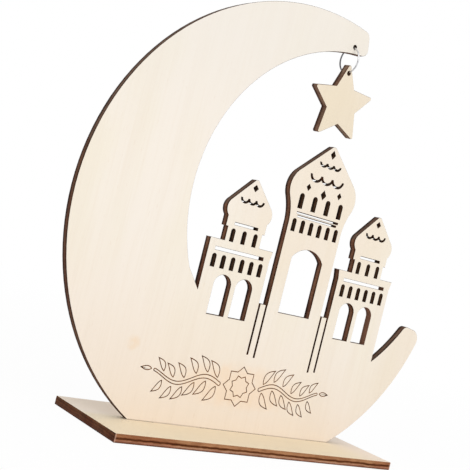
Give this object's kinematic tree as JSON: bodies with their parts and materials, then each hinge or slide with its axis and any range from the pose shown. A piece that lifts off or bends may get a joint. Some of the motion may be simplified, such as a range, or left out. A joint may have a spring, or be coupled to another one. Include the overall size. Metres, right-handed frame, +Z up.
{
  "type": "eid crescent ornament",
  "caption": "Free-standing laser-cut plywood crescent with a domed skyline, slotted into a flat base, with a star hung on a wire ring from its upper tip.",
  "frame": {"origin": "middle of the base's underside", "axes": "+X along the panel towards the crescent's open side, +Y from the engraved front face to the back, +Z up"},
  "size_m": [0.1662, 0.045, 0.1603],
  "materials": {
    "plywood": "bare pale plywood with scorched laser-cut edges",
    "star_plywood": "bare pale plywood with scorched laser-cut edges",
    "ring_wire": "plated bright wire"
  },
  "bodies": {
    "base": {"base_plate": "plywood"},
    "panel": {"crescent_panel": "plywood"},
    "ring": {"hanging_ring": "ring_wire"},
    "star": {"star_pendant": "star_plywood"}
  },
  "joints": [
    {"name": "panel_lift", "type": "slide", "parent": "base", "child": "panel", "axis": [0, 0, 1], "range_m": [0, 0.008]},
    {"name": "ring_swing", "type": "hinge", "parent": "panel", "child": "ring", "pos_m": [0.01148, 0, 0.15172], "axis": [0, -1, 0], "range_deg": [-15, 45]},
    {"name": "star_swing", "type": "hinge", "parent": "ring", "child": "star", "pos_m": [0.01159, 0, 0.14185], "axis": [0.048, -0.9988, 0], "range_deg": [-15, 60]}
  ]
}
